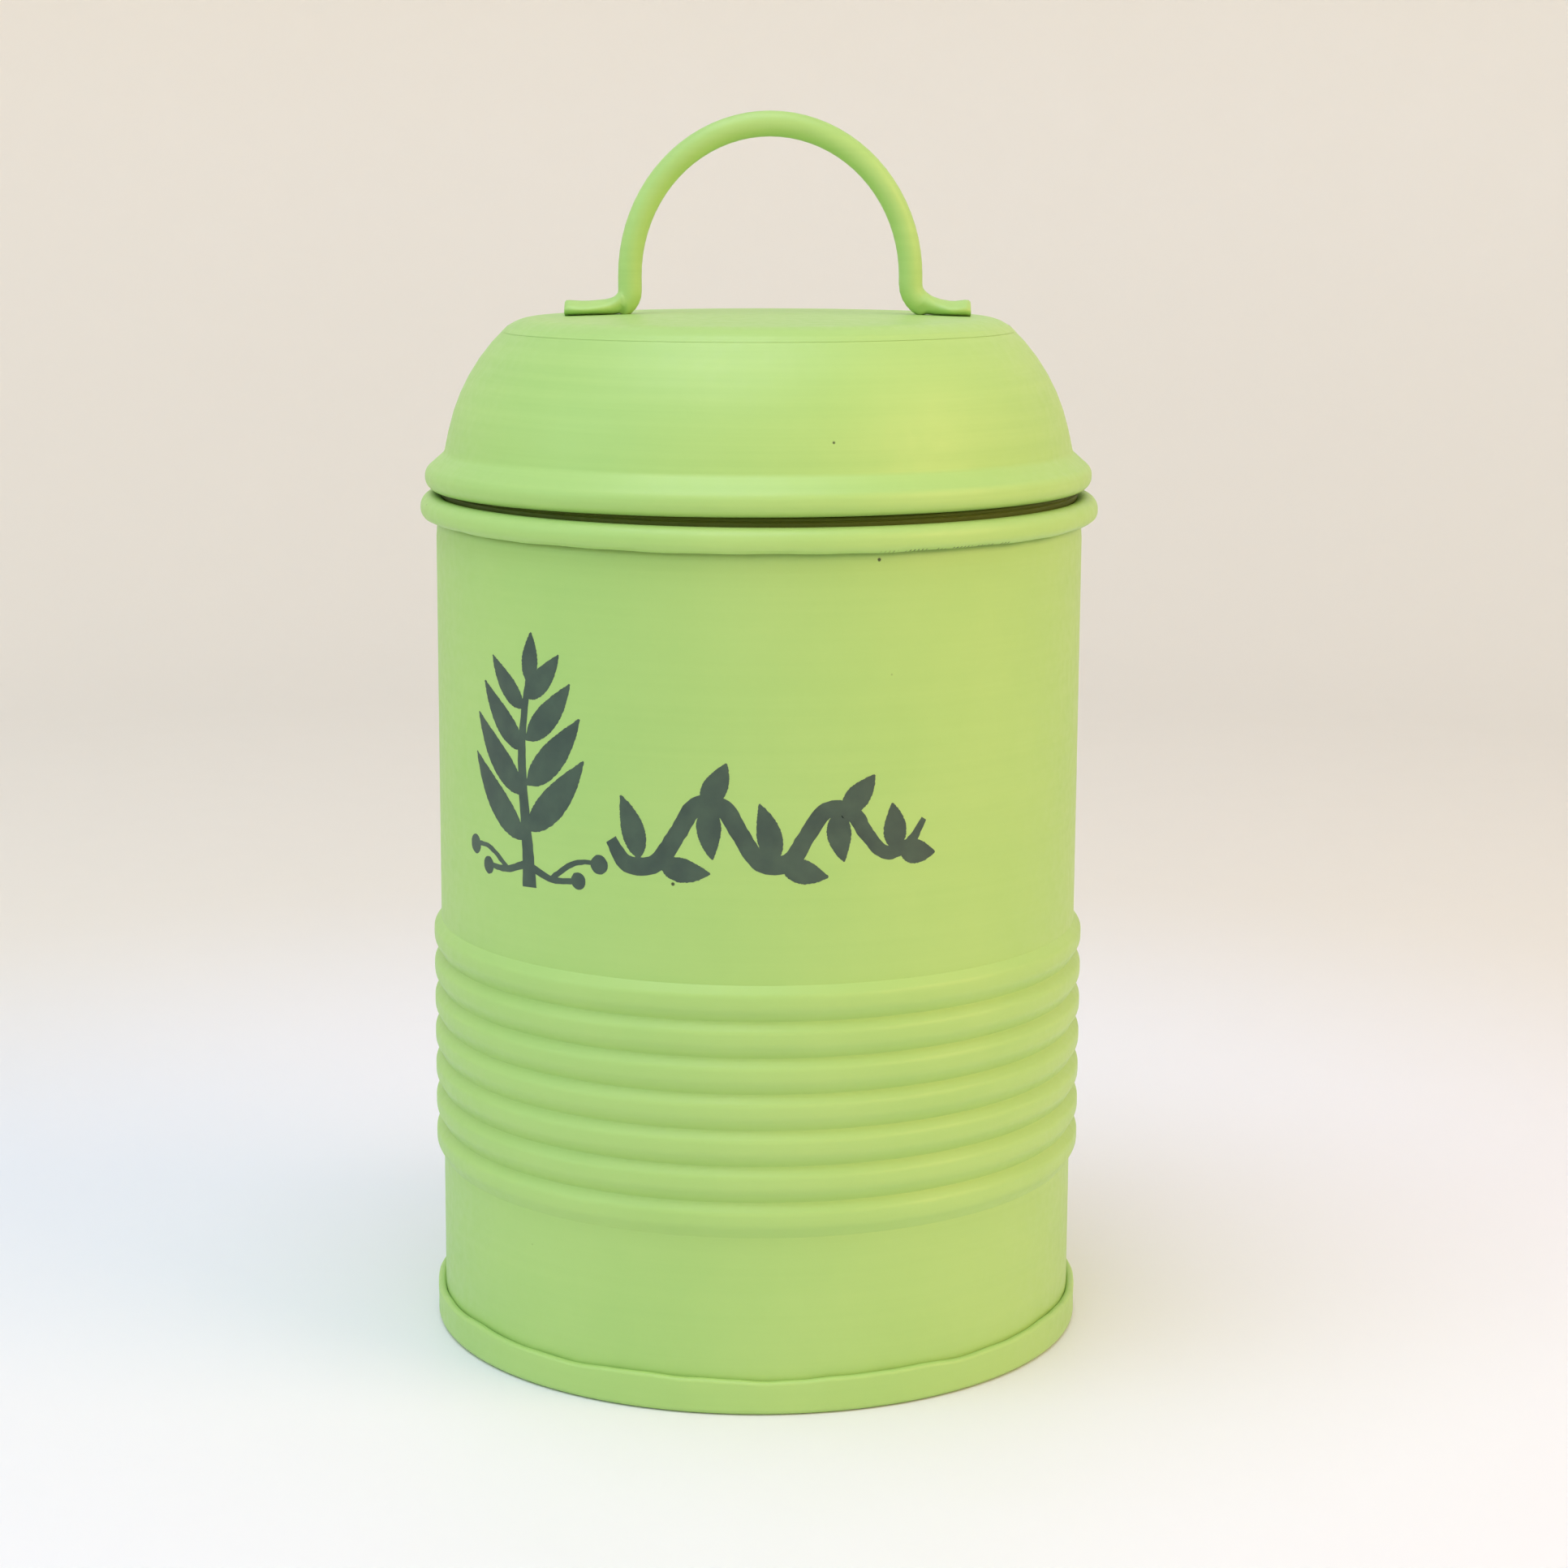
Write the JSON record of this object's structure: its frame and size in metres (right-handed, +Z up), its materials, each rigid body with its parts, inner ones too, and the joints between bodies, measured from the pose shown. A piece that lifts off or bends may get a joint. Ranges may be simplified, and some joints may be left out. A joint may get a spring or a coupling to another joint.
{
  "type": "kitchen storage canister",
  "caption": "Round ribbed sheet-steel storage tin with a rolled rim, a lift-off domed lid on a seal ring and an arched wire handle.",
  "frame": {"origin": "centre of the base, on the surface the tin stands on", "axes": "+Z up along the tin's axis; the printed front faces -Y; the handle's arch lies along X"},
  "size_m": [0.1048, 0.1048, 0.1894],
  "materials": {
    "green_coat": "matte powder coat, fine orange peel",
    "wire_steel": "drawn wire",
    "seal_rubber": "matte silicone",
    "print_ink": "screen-printed ink"
  },
  "bodies": {
    "tin": {"body_wall": "green_coat", "base_pan": "green_coat", "rim_wire": "wire_steel"},
    "seal": {"lid_seal": "seal_rubber"},
    "lid": {"lid_dome": "green_coat", "lid_collar": "green_coat", "handle": "green_coat"}
  },
  "joints": [
    {"name": "lid_lift", "type": "slide", "parent": "tin", "child": "seal", "axis": [0, 0, 1], "range_m": [0, 0.06]},
    {"name": "lid_turn", "type": "hinge", "parent": "seal", "child": "lid", "pos_m": [0, 0, 0.1325], "axis": [0, 0, 1], "continuous": true}
  ]
}
